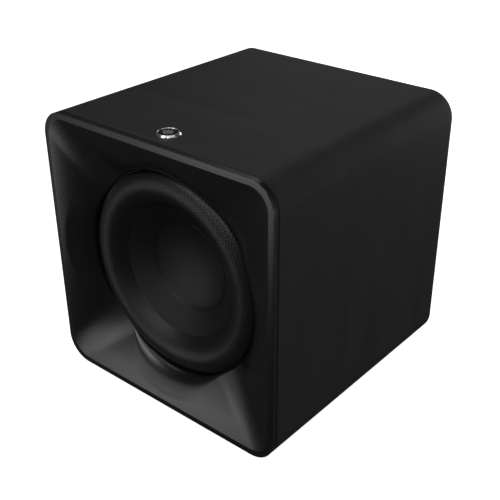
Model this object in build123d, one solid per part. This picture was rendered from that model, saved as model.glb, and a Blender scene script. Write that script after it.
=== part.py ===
from build123d import *
import math
import os

# A cube-shaped powered subwoofer: a long-throw woofer in a horn-shaped front, a wrapped cabinet on
# four feet, and a rear bass port with an amplifier below it.
# Millimetres. +Z is up, the front faces -Y, and the origin is on the floor under the cabinet's centre.
# A depth is measured back from the front plane. Radii are measured from the woofer's axis.

# Cabinet
WIDTH = 400.0
CORNER = 37.4
WALL = 18.0
INNER = WIDTH - 2 * WALL
INNER_CORNER = CORNER - WALL
FOOT_HEIGHT = 12.0
FOOT_INSET = 50.0
FRONT = -WIDTH / 2
AXIS_Z = FOOT_HEIGHT + WIDTH / 2
TOP_Z = FOOT_HEIGHT + WIDTH
BRACE_FRONT = 204.0
BRACE_REAR = 219.0
BRACE_WINDOW = 250.0
WADDING_FRONT = 70.0
WADDING_REAR = 202.0
WADDING_THICK = 15.0
FOOT_SEAT = 7.0

# Front bezel: a flat rim, four sloping faces, and a flared round throat
BEZEL_SIDE = 7.8
SHADOW_GAP = 1.6
GAP_RECESS = 2.0
SHELL_FRONT = BEZEL_SIDE + SHADOW_GAP
RIM_WIDTH = 8.8
HORN_HALF = WIDTH / 2 - RIM_WIDTH
HORN_SLOPE = 0.40
THROAT_R = 148.0
THROAT_DEPTH = 35.7
FLARE_WIDTH = 83.8
FLARE_DEPTH = 40.0
FLARE_TURN = 50.0
VALLEY_GROWTH = 0.30
BEZEL_SKIN = 4.0
PLUG_CLEARANCE = 1.0
BEZEL_SCREW_XZ = 148.0
BEZEL_BOSS_R = 8.0
BEZEL_SEAT_R = 162.5

# Woofer
BAFFLE_FRONT = 42.0
BAFFLE_THICK = 22.0
BAFFLE_REAR = BAFFLE_FRONT + BAFFLE_THICK
CUTOUT_R = 142.0
FLANGE_R = 161.0
FLANGE_FRONT = 37.2
GASKET_FRONT = 41.0
WOOFER_SCREW_COUNT = 8
WOOFER_SCREW_CIRCLE_R = 155.5
CREST_R = 127.0
CREST_DEPTH = 24.0
ROLL_FOOT_R = 145.5
ROLL_LIP_R = 150.5
ROLL_LAP_R = 96.0
ROLL_BEND_R = 106.0
ROLL_LAP = 1.0
SKIN = 1.2
CONE_R = 104.0
CONE_EDGE_DEPTH = 34.9
CONE_SLOPE = 0.766
CONE_THICK = 1.5
CAP_R = 67.5
CAP_LIP = 4.5
CAP_THICK = 0.8
CAP_SAG = 13.5
FORMER_R = 32.5
FORMER_WALL = 0.5
FORMER_FRONT = 84.0
FORMER_REAR = 152.0
COIL_R = 35.3
COIL_FRONT = 116.0
COIL_REAR = 150.0
SPIDER_LANDING = 104.0
PLATE_FRONT = 128.0
MAGNET_FRONT = 138.0
MAGNET_REAR = 166.0
YOKE_REAR = 176.0

# Rear: a recessed panel that carries the port and the amplifier
PANEL_REAR = 382.0
PANEL_FRONT = PANEL_REAR - WALL
PORT_R = 34.0
PORT_WALL = 3.0
PORT_INNER_END = 226.0
PORT_Z = 304.0
FLARE_R = 20.0
FLARE_FLANGE_R = 60.0
PLATE_WIDTH = 250.0
PLATE_HEIGHT = 170.0
PLATE_Z = 129.0
PLATE_INNER = PANEL_REAR + 1.0
PLATE_OUTER = PLATE_INNER + 3.0
BOX_WIDTH = 222.0
BOX_HEIGHT = 142.0
BOX_FRONT = 308.0
BOX_WALL = 2.0
BOARD_FRONT = 318.0
BOARD_THICK = 1.6
CONTROL_BOARD_REAR = 371.0
BOARD_WIDTH = 95.0
BOARD_HEIGHT = 80.0
BOARD_X = 54.0
BOARD_Z = PLATE_Z - 22.0

# Controls on the amplifier plate, as (to the right, up) from its centre, seen from behind
CONTROL_ROW = 48.0
RCA_LEFT = (-98.0, CONTROL_ROW)
RCA_RIGHT = (-72.0, CONTROL_ROW)
GAIN = (-28.0, CONTROL_ROW)
LOWPASS = (22.0, CONTROL_ROW)
PHASE = (66.0, CONTROL_ROW)
LED = (98.0, CONTROL_ROW)
POWER = (30.0, -46.0)
INLET = (78.0, -46.0)

RCA_SHELL_R = 4.15
RCA_BORE_R = 3.4
RCA_END = 395.0
INLET_FACE = 388.0
SHAFT_R = 3.0
SHAFT_FRONT = 374.0
SHAFT_REAR = 397.0
KNOB_R = 9.0
KNOB_FRONT = 387.0
KNOB_REAR = 399.0
RUNNING_FIT = 0.05
SLIDER_TRAVEL = 4.0
ROCKER_TILT = 8.0
ROCKER_DEPTH = 384.0

# Badge on the top
BADGE_R = 16.0
BADGE_FACE_R = 13.2
BADGE_HEIGHT = 3.0
BADGE_DEPTH = 38.7


def facing_rear(depth, x=0.0, z=AXIS_Z):
    """A plane that faces the rear, with its own x to the right and y up as seen from behind."""
    return Plane(origin=(x, FRONT + depth, z), x_dir=(-1, 0, 0), z_dir=(0, 1, 0))


def slab(width, height, radius, start, end, x=0.0, z=AXIS_Z):
    """A block with rounded corners that runs from one depth to another."""
    outline = facing_rear(start, x, z) * RectangleRounded(width, height, radius)
    return extrude(outline, amount=end - start)


def rod(radius, start, end, x=0.0, z=AXIS_Z):
    """A cylinder that runs from one depth to another."""
    return extrude(facing_rear(start, x, z) * Circle(radius), amount=end - start)


def ring(outer, inner, start, end, x=0.0, z=AXIS_Z):
    """A tube that runs from one depth to another."""
    return rod(outer, start, end, x, z) - rod(inner, start, end, x, z)


def revolved(curves, x=0.0, z=AXIS_Z):
    """The solid of a closed (radius, depth) outline turned about a front-to-back axis."""
    return Pos(x, FRONT, z) * revolve(make_face(curves), Axis.Y)


def turned(points, x=0.0, z=AXIS_Z):
    """The solid of a closed straight-sided (radius, depth) outline."""
    return revolved(Polyline(*points, close=True), x, z)


def on_plate(place):
    """Where a control on the amplifier plate stands, as x and z."""
    return -place[0], PLATE_Z + place[1]


def around(count, radius, first=0.0):
    """Evenly spaced places about the woofer's axis, as x and z."""
    turns = [math.radians(first + 360 * i / count) for i in range(count)]
    return [(radius * math.cos(turn), AXIS_Z + radius * math.sin(turn)) for turn in turns]


def corners(half, z=AXIS_Z):
    """The four corners of a square about the woofer's axis, as x and z."""
    return [(i * half, z + j * half) for i in (-1, 1) for j in (-1, 1)]


def save(name, *solids):
    """Write one node. Several solids make a group of separate pieces."""
    shape = solids[0] if len(solids) == 1 else Compound(children=list(solids))
    export_step(shape, f"parts/{name}.step")


# ---------------------------------------------------------------- cabinet

def countersunk(x, z, start, head_r, shank_r, head, length):
    """A countersunk screw whose head is flush with a depth and whose point is deeper in."""
    points = [(0, 0), (head_r, 0), (shank_r, head), (shank_r, length), (0, length)]
    return Pos(0, start, 0) * turned(points, x, z)


def woofer_screw(place):
    return countersunk(*place, FLANGE_FRONT, 4.4, 2.4, 2.5, 23.0)


def bezel_screw(place):
    """A pan-head screw that goes forward through the baffle into a boss of the bezel."""
    x, z = place
    return rod(5.0, BAFFLE_REAR, BAFFLE_REAR + 3.0, x, z) + rod(2.2, 27.0, BAFFLE_REAR, x, z)


def amp_screw_places():
    """Ten places round the edge of the amplifier plate, as x and z."""
    across = PLATE_WIDTH / 2 - 7.0
    up = PLATE_HEIGHT / 2 - 7.0
    rows = [(x, z) for x in (-across, 0.0, across) for z in (-up, up)]
    sides = [(x, z) for x in (-across, across) for z in (-up / 3, up / 3)]
    return [(x, PLATE_Z + z) for x, z in rows + sides]


def amp_screw(place):
    """A pan-head screw that goes forward through the plate and gasket into the panel."""
    x, z = place
    return rod(3.6, PLATE_OUTER, PLATE_OUTER + 1.8, x, z) + rod(1.7, PANEL_FRONT + 3.0, PLATE_OUTER, x, z)


def foot_places():
    reach = WIDTH / 2 - FOOT_INSET
    return {
        "front_left": (-reach, -reach),
        "front_right": (reach, -reach),
        "rear_left": (-reach, reach),
        "rear_right": (reach, reach),
    }


def foot(x, y):
    """A tapered rubber foot with a recess for its screw."""
    points = [(7, 0), (17, 0), (18, 1), (20, 11), (20, FOOT_HEIGHT), (2.4, FOOT_HEIGHT), (2.4, FOOT_SEAT),
              (7, FOOT_SEAT)]
    outline = Plane.XZ * make_face(Polyline(*points, close=True))
    return Pos(x, y, 0) * revolve(outline, Axis.Z)


def foot_screw(x, y):
    head = Pos(x, y, FOOT_SEAT - 1.5) * Cylinder(5.5, 3.0)
    shank = Pos(x, y, FOOT_SEAT) * Cylinder(2.4, 20.0, align=(Align.CENTER, Align.CENTER, Align.MIN))
    return head + shank


def badge_stud():
    """The stud that holds the badge in the cabinet's top."""
    length = 12.0
    stud = Cylinder(2.0, length, align=(Align.CENTER, Align.CENTER, Align.MIN))
    return Pos(0, FRONT + BADGE_DEPTH, TOP_Z - length) * stud


def cabinet_shell():
    """The four walls, mitred into one rounded square tube."""
    outer = slab(WIDTH, WIDTH, CORNER, SHELL_FRONT, WIDTH)
    outer = fillet(outer.faces().sort_by(Axis.Y)[-1].edges(), 1.5)
    shell = outer - slab(INNER, INNER, INNER_CORNER, SHELL_FRONT, WIDTH)
    for x, y in foot_places().values():
        shell -= foot_screw(x, y)
    return shell - badge_stud()


def front_baffle():
    board = slab(INNER, INNER, INNER_CORNER, BAFFLE_FRONT, BAFFLE_REAR)
    board -= rod(CUTOUT_R, BAFFLE_FRONT, BAFFLE_REAR)
    for place in around(WOOFER_SCREW_COUNT, WOOFER_SCREW_CIRCLE_R, 22.5):
        board -= woofer_screw(place)
    for place in corners(BEZEL_SCREW_XZ):
        board -= bezel_screw(place)
    return board


def rear_panel():
    board = slab(INNER, INNER, INNER_CORNER, PANEL_FRONT, PANEL_REAR)
    board -= slab(BOX_WIDTH, BOX_HEIGHT, 3.0, PANEL_FRONT, PANEL_REAR, z=PLATE_Z)
    board -= rod(52.0, PANEL_FRONT, PANEL_REAR, z=PORT_Z)
    for place in amp_screw_places():
        board -= amp_screw(place)
    return board


def internal_brace():
    """A window brace that ties the four walls together behind the magnet."""
    brace = slab(INNER, INNER, INNER_CORNER, BRACE_FRONT, BRACE_REAR)
    return brace - slab(BRACE_WINDOW, BRACE_WINDOW, 40.0, BRACE_FRONT, BRACE_REAR)


def acoustic_damping():
    """A sleeve of wadding on the walls round the woofer."""
    inside = INNER - 2 * WADDING_THICK
    sleeve = slab(INNER, INNER, INNER_CORNER, WADDING_FRONT, WADDING_REAR)
    return sleeve - slab(inside, inside, 8.0, WADDING_FRONT, WADDING_REAR)


# ---------------------------------------------------------------- bezel

def square_section(inset, depth, offset):
    """A section of the horn's sloping faces. The corners open out as the faces draw in."""
    half = HORN_HALF - inset + offset
    radius = CORNER - RIM_WIDTH + VALLEY_GROWTH * inset + offset
    return facing_rear(depth) * RectangleRounded(2 * half, 2 * half, radius)


def horn_space(offset=0.0):
    """The air in front of the woofer, or the same space grown outwards to leave a skin."""
    reach = THROAT_DEPTH / HORN_SLOPE
    faces = loft([square_section(0.0, 0.0, offset), square_section(reach, THROAT_DEPTH, offset)], ruled=True)
    throat = THROAT_R + offset
    middle = (throat + FLARE_WIDTH, THROAT_DEPTH)
    flare = EllipticalCenterArc(middle, FLARE_WIDTH, FLARE_DEPTH, 180, arc_size=FLARE_TURN)
    edge = flare @ 1
    lip = edge.X + edge.Y / HORN_SLOPE
    rest = Polyline(edge, (lip, 0), (0, 0), (0, THROAT_DEPTH), (throat, THROAT_DEPTH))
    return faces + revolved([flare, rest])


def front_bezel():
    """A moulded shell: a rim band outside, the horn inside, and bosses behind for the screws."""
    plug = INNER - 2 * PLUG_CLEARANCE
    plug_corner = INNER_CORNER - PLUG_CLEARANCE
    band = slab(WIDTH, WIDTH, CORNER, 0.0, BEZEL_SIDE)
    band = fillet(band.faces().sort_by(Axis.Y)[0].edges(), 0.8)
    block = band + slab(plug, plug, plug_corner, BEZEL_SIDE, BAFFLE_FRONT)
    inside = plug - 2 * BEZEL_SKIN
    hollow = slab(inside, inside, plug_corner - BEZEL_SKIN, BEZEL_SKIN, BAFFLE_FRONT)
    hollow -= Pos(0, BEZEL_SKIN, 0) * horn_space(BEZEL_SKIN)
    hollow -= slab(inside, inside, 3.0, 0.0, 2 * BEZEL_SKIN)
    hollow -= rod(BEZEL_SEAT_R + BEZEL_SKIN, 0.0, BAFFLE_FRONT)
    for x, z in corners(BEZEL_SCREW_XZ):
        hollow -= rod(BEZEL_BOSS_R, 0.0, BAFFLE_FRONT, x, z)
    block -= hollow
    block -= horn_space()
    block -= rod(THROAT_R, THROAT_DEPTH - 1.0, BAFFLE_FRONT)
    block -= rod(BEZEL_SEAT_R, THROAT_DEPTH, BAFFLE_FRONT)
    for place in corners(BEZEL_SCREW_XZ):
        block -= bezel_screw(place)
    return block


def bezel_gasket():
    """The dark foam strip in the gap between the bezel and the cabinet."""
    outer = WIDTH - 2 * GAP_RECESS
    inner = INNER - 2 * PLUG_CLEARANCE
    strip = slab(outer, outer, CORNER - GAP_RECESS, BEZEL_SIDE, SHELL_FRONT)
    return strip - slab(inner, inner, INNER_CORNER - PLUG_CLEARANCE, BEZEL_SIDE, SHELL_FRONT)


def badge_ring():
    """A turned cup with a bevelled rim and a stud under it."""
    floor = 0.8
    bevel = 0.5
    points = [(0, 0), (BADGE_R, 0), (BADGE_R, BADGE_HEIGHT - bevel), (BADGE_R - bevel, BADGE_HEIGHT),
              (BADGE_FACE_R, BADGE_HEIGHT), (BADGE_FACE_R, floor), (0, floor)]
    cup = revolve(Plane.XZ * make_face(Polyline(*points, close=True)), Axis.Z)
    return Pos(0, FRONT + BADGE_DEPTH, TOP_Z) * cup + badge_stud()


def badge_face():
    floor = 0.8
    thick = BADGE_HEIGHT - floor - 0.3
    low = Align.MIN
    disc = Cylinder(BADGE_FACE_R, thick, align=(Align.CENTER, Align.CENTER, low))
    return Pos(0, FRONT + BADGE_DEPTH, TOP_Z + floor) * disc


# ---------------------------------------------------------------- woofer

def woofer_basket():
    """A cast frame with six windows between its spokes."""
    points = [(FLANGE_R, FLANGE_FRONT), (FLANGE_R, GASKET_FRONT), (141.5, GASKET_FRONT), (141.5, 50),
              (88.5, 104.5), (88.5, 110), (76, PLATE_FRONT), (46, PLATE_FRONT), (46, 125), (73, 125),
              (77, SPIDER_LANDING), (85, SPIDER_LANDING), (138.5, 49), (138.5, FLANGE_FRONT)]
    frame = turned(points)
    opening = make_face(Polyline((92, 56), (140, 56), (140, 96), (92, 96), close=True))
    window = revolve(opening, Axis.Y, revolution_arc=42)
    for i in range(6):
        frame -= Pos(0, FRONT, AXIS_Z) * Rot(0, 60 * i + 21, 0) * window
    for place in around(WOOFER_SCREW_COUNT, WOOFER_SCREW_CIRCLE_R, 22.5):
        frame -= woofer_screw(place)
    return frame


def woofer_gasket():
    foam = ring(FLANGE_R, CUTOUT_R, GASKET_FRONT, BAFFLE_FRONT)
    for place in around(WOOFER_SCREW_COUNT, WOOFER_SCREW_CIRCLE_R, 22.5):
        foam -= woofer_screw(place)
    return foam


def cone_depth(radius):
    """How deep the cone's front surface lies at a radius."""
    return CONE_EDGE_DEPTH + (CONE_R - radius) * CONE_SLOPE


def roll_side(lift, crest_depth, foot_r, foot_depth):
    """One side of the roll: straight along the cone, bent over to the crest, and down to the outer foot."""
    start = (ROLL_LAP_R, cone_depth(ROLL_LAP_R) - lift)
    bend = (ROLL_BEND_R, cone_depth(ROLL_BEND_R) - lift)
    meeting_r = CONE_R + (CONE_EDGE_DEPTH - lift - crest_depth) / CONE_SLOPE
    over = Bezier(bend, (meeting_r, crest_depth), (CREST_R, crest_depth))
    across = foot_r - CREST_R
    down = EllipticalCenterArc((CREST_R, foot_depth), across, foot_depth - crest_depth, 270, arc_size=90)
    return [Line(start, bend), over, down]


def surround():
    """A rubber roll that carries on the cone's slope to its crest and has a flat outer lip."""
    lip_front = FLANGE_FRONT - SKIN
    front = roll_side(ROLL_LAP, CREST_DEPTH, ROLL_FOOT_R, lip_front)
    back = roll_side(0.0, CREST_DEPTH + SKIN, ROLL_FOOT_R - SKIN, FLANGE_FRONT)
    outer_lip = Polyline((ROLL_FOOT_R, lip_front), (ROLL_LIP_R, lip_front), (ROLL_LIP_R, FLANGE_FRONT),
                         (ROLL_FOOT_R - SKIN, FLANGE_FRONT))
    inner_edge = Line(front[0] @ 0, back[0] @ 0)
    return revolved(front + back + [outer_lip, inner_edge])


def cone():
    """A paper cone that ends under the surround and has a neck on the coil former."""
    neck = cone_depth(FORMER_R)
    back = CONE_THICK / math.cos(math.atan(CONE_SLOPE))
    neck_r = FORMER_R + CONE_THICK
    points = [(CONE_R, CONE_EDGE_DEPTH), (FORMER_R, neck), (FORMER_R, neck + 5), (neck_r, neck + 5),
              (neck_r, cone_depth(neck_r) + back), (CONE_R, CONE_EDGE_DEPTH + back)]
    return turned(points)


def dust_cap():
    """A dished cap, hollow towards the front, with a lip that lies on the cone."""
    dish_r = CAP_R - CAP_LIP
    rim_back = cone_depth(CAP_R)
    dish_back = cone_depth(dish_r)
    curve = (dish_r ** 2 + CAP_SAG ** 2) / (2 * CAP_SAG)
    half = dish_r / 2
    half_sag = CAP_SAG - (curve - math.sqrt(curve ** 2 - half ** 2))
    front = ThreePointArc((dish_r, dish_back - CAP_THICK), (half, dish_back - CAP_THICK + half_sag),
                          (0, dish_back - CAP_THICK + CAP_SAG))
    back = ThreePointArc((dish_r, dish_back), (half, dish_back + half_sag), (0, dish_back + CAP_SAG))
    lip = Polyline(back @ 0, (CAP_R, rim_back), (CAP_R, rim_back - CAP_THICK), front @ 0)
    return revolved([front, Line(front @ 1, back @ 1), back, lip])


def spider():
    """A corrugated cloth disc that centres the coil former."""
    cloth = 0.8
    flat_in = 38.0
    pitch = 9.0
    waves = 4
    wave = 1.8
    middle = SPIDER_LANDING - cloth
    quarters = range(4 * waves + 1)
    crests = [(flat_in + pitch * i / 4, middle + wave * math.sin(math.pi * i / 2)) for i in quarters]
    front = [(FORMER_R, middle)] + crests + [(85.0, middle)]
    back = [(r, depth + cloth) for r, depth in reversed(front)]
    return turned(front + back)


def pole_yoke():
    """The back plate with its vented pole piece."""
    points = [(12, PLATE_FRONT), (31, PLATE_FRONT), (31, MAGNET_REAR), (70, MAGNET_REAR), (70, YOKE_REAR),
              (12, YOKE_REAR)]
    return turned(points)


def terminal_block():
    """A moulded terminal on the lowest spoke, shaped to the slope of the frame."""
    points = [(-122.05, 70), (-134, 70), (-134, 92), (-100.66, 92)]
    outline = Plane.YZ * make_face(Polyline(*[(depth, r) for r, depth in points], close=True))
    return Pos(-12, FRONT, AXIS_Z) * extrude(outline, amount=24)


def tinsel_lead(x):
    """One braided lead from the frame to the back of the cone."""
    route = [(x, FRONT + depth, AXIS_Z - r) for r, depth in ((101, 87), (90, 94), (70, 91), (60, 75))]
    path = FilletPolyline(*route, radius=8)
    start = Plane(path @ 0, z_dir=path % 0)
    return sweep(start * Circle(0.9), path=path)


def speaker_harness():
    """The lead from the amplifier, under the magnet, to the woofer's terminal."""
    places = ((314, 179), (262, 179), (225, 135), (185, 102), (144, 88), (92, 88))
    route = [(0, FRONT + depth, z) for depth, z in places]
    path = FilletPolyline(*route, radius=24)
    start = Plane(path @ 0, z_dir=path % 0)
    return sweep(start * Circle(2.5), path=path)


# ---------------------------------------------------------------- port and amplifier

def port_flare():
    """The flange and the quarter-round mouth of the port."""
    flange = PANEL_REAR + 3.0
    throat = flange - FLARE_R
    end = throat - 9.0
    mouth = ThreePointArc((PORT_R, throat),
                          (PORT_R + FLARE_R * (1 - math.sqrt(0.5)), throat + FLARE_R * math.sqrt(0.5)),
                          (PORT_R + FLARE_R, flange))
    outer = PORT_R + PORT_WALL
    rest = Polyline(mouth @ 1, (FLARE_FLANGE_R - 1, flange), (FLARE_FLANGE_R, flange - 1),
                    (FLARE_FLANGE_R, PANEL_REAR), (52, PANEL_REAR), (52, flange - 9), (outer + 2, throat - 5),
                    (outer, throat - 5), (outer, end), (PORT_R, end), mouth @ 0)
    return revolved([mouth, rest], z=PORT_Z)


def amp_plate():
    """A steel plate with a hole for each control and screw."""
    plate = slab(PLATE_WIDTH, PLATE_HEIGHT, 8.0, PLATE_INNER, PLATE_OUTER, z=PLATE_Z)
    for place in (RCA_LEFT, RCA_RIGHT):
        plate -= rod(5.0, PLATE_INNER, PLATE_OUTER, *on_plate(place))
    for place in (GAIN, LOWPASS):
        plate -= rod(3.7, PLATE_INNER, PLATE_OUTER, *on_plate(place))
    x, z = on_plate(PHASE)
    plate -= slab(9.0, 5.0, 0.5, PLATE_INNER, PLATE_OUTER, x, z)
    plate -= rod(1.5, PLATE_INNER, PLATE_OUTER, *on_plate(LED))
    x, z = on_plate(POWER)
    plate -= slab(15.0, 21.0, 1.0, PLATE_INNER, PLATE_OUTER, x, z)
    x, z = on_plate(INLET)
    plate -= slab(27.4, 20.0, 1.0, PLATE_INNER, PLATE_OUTER, x, z)
    for place in amp_screw_places():
        plate -= amp_screw(place)
    return plate


def amp_gasket():
    foam = slab(PLATE_WIDTH, PLATE_HEIGHT, 8.0, PANEL_REAR, PLATE_INNER, z=PLATE_Z)
    foam -= slab(BOX_WIDTH, BOX_HEIGHT, 3.0, PANEL_REAR, PLATE_INNER, z=PLATE_Z)
    for place in amp_screw_places():
        foam -= amp_screw(place)
    return foam


def amp_box():
    """A sheet-metal box that keeps the cabinet's air away from the boards."""
    inner_w = BOX_WIDTH - 2 * BOX_WALL
    inner_h = BOX_HEIGHT - 2 * BOX_WALL
    box = slab(BOX_WIDTH, BOX_HEIGHT, 3.0, BOX_FRONT, PLATE_INNER, z=PLATE_Z)
    box -= slab(inner_w, inner_h, 2.0, BOX_FRONT + BOX_WALL, PLATE_INNER, z=PLATE_Z)
    return box - rod(2.5, BOX_FRONT, BOX_FRONT + BOX_WALL, 0, PLATE_Z + 50)


def board(x):
    return slab(BOARD_WIDTH, BOARD_HEIGHT, 1.0, BOARD_FRONT, BOARD_FRONT + BOARD_THICK, x, BOARD_Z)


def board_standoffs():
    reach_x = BOARD_WIDTH / 2 - 5
    reach_z = BOARD_HEIGHT / 2 - 5
    posts = []
    for middle in (-BOARD_X, BOARD_X):
        for i in (-1, 1):
            for j in (-1, 1):
                x = middle + i * reach_x
                z = BOARD_Z + j * reach_z
                posts.append(rod(3.0, BOX_FRONT + BOX_WALL, BOARD_FRONT, x, z))
    return posts


def heatsink():
    """An aluminium extrusion with upright fins."""
    start = BOARD_FRONT + BOARD_THICK
    base = slab(80.0, 34.0, 0.5, start, start + 5.0, BOARD_X, BOARD_Z)
    for i in range(9):
        x = BOARD_X - 38.0 + 9.5 * i
        base += slab(2.0, 34.0, 0.4, start + 4.0, start + 26.0, x, BOARD_Z)
    return base


def transformer():
    start = BOARD_FRONT + BOARD_THICK
    core = slab(36.0, 40.0, 2.0, start + 4, start + 22, -BOARD_X - 18, BOARD_Z)
    winding = slab(28.0, 26.0, 8.0, start, start + 27, -BOARD_X - 18, BOARD_Z)
    return core + winding


def supply_capacitors():
    start = BOARD_FRONT + BOARD_THICK
    places = [(-BOARD_X + 22, BOARD_Z - 20), (-BOARD_X + 22, BOARD_Z + 12)]
    return [rod(12.5, start, start + 30, x, z) for x, z in places]


def inlet_cavity(start, end):
    """The space that a mains connector enters, with its two cut corners."""
    points = [(-12.2, -8.2), (12.2, -8.2), (12.2, 3.2), (7.2, 8.2), (-7.2, 8.2), (-12.2, 3.2)]
    x, z = on_plate(INLET)
    return extrude(facing_rear(start, x, z) * make_face(Polyline(*points, close=True)), amount=end - start)


def inlet_pins():
    """Two live blades and the earth blade, which stands higher."""
    x, z = on_plate(INLET)
    places = ((-7, -2), (7, -2), (0, 2))
    return [slab(2.0, 4.0, 0.3, 360.0, 385.0, x + across, z + up) for across, up in places]


def mains_inlet():
    x, z = on_plate(INLET)
    body = slab(27.4, 20.0, 1.0, 366.0, PLATE_OUTER, x, z)
    body += slab(31.0, 25.0, 2.0, PLATE_OUTER, INLET_FACE, x, z)
    body -= inlet_cavity(CONTROL_BOARD_REAR, INLET_FACE)
    for pin in inlet_pins():
        body -= pin
    return body


def rca_shell(place):
    """The plated shell that a phono plug's sleeve grips, with its flange."""
    x, z = on_plate(place)
    shell = rod(RCA_SHELL_R, CONTROL_BOARD_REAR + 5, RCA_END, x, z)
    shell += rod(6.5, PLATE_OUTER, PLATE_OUTER + 1.2, x, z)
    shell += rod(5.0, CONTROL_BOARD_REAR + 5, PLATE_OUTER, x, z)
    return shell - rod(RCA_BORE_R, CONTROL_BOARD_REAR + 5, RCA_END, x, z)


def rca_insulator(place):
    """The coloured core with the hole for a phono plug's pin."""
    x, z = on_plate(place)
    core = rod(RCA_BORE_R, CONTROL_BOARD_REAR, RCA_END - 0.5, x, z)
    return core - rod(1.6, CONTROL_BOARD_REAR + 9, RCA_END - 0.5, x, z)


def potentiometer(place):
    """A potentiometer's case and threaded bush, bored for the shaft."""
    x, z = on_plate(place)
    case = slab(16.0, 16.0, 1.0, CONTROL_BOARD_REAR, 381.0, x, z) + rod(3.5, 381.0, 390.0, x, z)
    return case - rod(SHAFT_R + RUNNING_FIT, 373.7, 390.0, x, z)


def shaft(place):
    return rod(SHAFT_R, SHAFT_FRONT, SHAFT_REAR, *on_plate(place))


def knob(place):
    """A round knob with finger flutes and a pointer groove at the top."""
    x, z = on_plate(place)
    flute_circle = KNOB_R + 0.25
    body = rod(KNOB_R, KNOB_FRONT, KNOB_REAR, x, z)
    body = chamfer(body.faces().sort_by(Axis.Y)[-1].edges(), 0.8)
    for i in range(24):
        turn = math.radians(15 * i + 7.5)
        flute_x = x + flute_circle * math.cos(turn)
        flute_z = z + flute_circle * math.sin(turn)
        body -= rod(0.7, KNOB_FRONT + 1.5, KNOB_REAR, flute_x, flute_z)
    body -= slab(1.0, 6.5, 0.4, KNOB_REAR - 0.6, KNOB_REAR, x, z + 4.8)
    socket = KNOB_FRONT + 4.0
    return body - rod(5.5, KNOB_FRONT, socket, x, z) - rod(SHAFT_R, socket, SHAFT_REAR, x, z)


def phase_switch_body():
    x, z = on_plate(PHASE)
    body = slab(15.0, 8.0, 0.5, CONTROL_BOARD_REAR, PLATE_INNER, x, z)
    return body - slab(9.0, 5.0, 0.5, 378.0, PLATE_INNER, x, z)


def phase_slider():
    """The slider at the left end of its slot, seen from behind."""
    x, z = on_plate(PHASE)
    start_x = x + SLIDER_TRAVEL / 2
    lever = slab(4.4, 4.4, 0.5, 378.3, 389.0, start_x, z)
    for offset in (-1.2, 0.0, 1.2):
        lever -= slab(0.4, 5.0, 0.1, 388.5, 389.0, start_x + offset, z)
    return lever


def power_switch_body():
    """A snap-in rocker switch's case, with a pocket and two pivot holes."""
    x, z = on_plate(POWER)
    case = slab(15.0, 21.0, 1.0, 371.5, PLATE_OUTER, x, z) + slab(18.0, 24.0, 2.0, PLATE_OUTER, 388.0, x, z)
    case -= slab(12.6, 18.8, 0.5, 375.0, 388.0, x, z)
    pivot = Pos(x, FRONT + ROCKER_DEPTH, z) * Rot(0, 90, 0) * Cylinder(1.56, 14.6)
    return case - pivot


def power_rocker():
    """A rocker with a shallow V top, tipped to its off side, on two short trunnions."""
    x, z = on_plate(POWER)
    half = 8.4
    top = Polyline((half, 0), (half, 5), (0, 3.6), (-half, 5), (-half, 0))
    under = ThreePointArc((-half, 0), (0, -half), (half, 0))
    section = Plane(origin=(-6.0, 0, 0), x_dir=(0, 0, 1), z_dir=(-1, 0, 0)) * make_face([top, under])
    rocker = extrude(section, amount=-12.0) + Rot(0, 90, 0) * Cylinder(1.5, 14.4)
    return Pos(x, FRONT + ROCKER_DEPTH, z) * Rot(ROCKER_TILT, 0, 0) * rocker


def status_led():
    x, z = on_plate(LED)
    return rod(1.5, CONTROL_BOARD_REAR, PLATE_OUTER, x, z) + Pos(x, FRONT + PLATE_OUTER, z) * Sphere(1.5)


def save_cabinet():
    save("cabinet_shell", cabinet_shell())
    save("front_baffle", front_baffle())
    save("rear_panel", rear_panel())
    save("internal_brace", internal_brace())
    save("acoustic_damping", acoustic_damping())
    save("front_bezel", front_bezel())
    save("bezel_gasket", bezel_gasket())
    save("bezel_screws", *[bezel_screw(place) for place in corners(BEZEL_SCREW_XZ)])
    save("badge_ring", badge_ring())
    save("badge_face", badge_face())
    for name, place in foot_places().items():
        save(f"foot_{name}", foot(*place))
    save("foot_screws", *[foot_screw(*place) for place in foot_places().values()])


def save_woofer():
    save("woofer_basket", woofer_basket())
    save("woofer_gasket", woofer_gasket())
    screw_places = around(WOOFER_SCREW_COUNT, WOOFER_SCREW_CIRCLE_R, 22.5)
    save("woofer_screws", *[woofer_screw(place) for place in screw_places])
    save("surround", surround())
    save("cone", cone())
    save("dust_cap", dust_cap())
    save("coil_former", ring(FORMER_R, FORMER_R - FORMER_WALL, FORMER_FRONT, FORMER_REAR))
    save("voice_coil", ring(COIL_R, FORMER_R, COIL_FRONT, COIL_REAR))
    save("spider", spider())
    save("top_plate", ring(70.0, 36.5, PLATE_FRONT, MAGNET_FRONT))
    save("magnet", ring(78.0, 42.0, MAGNET_FRONT, MAGNET_REAR))
    save("pole_yoke", pole_yoke())
    save("terminal_block", terminal_block())
    save("tinsel_leads", tinsel_lead(-8), tinsel_lead(8))
    save("speaker_harness", speaker_harness())


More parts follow.
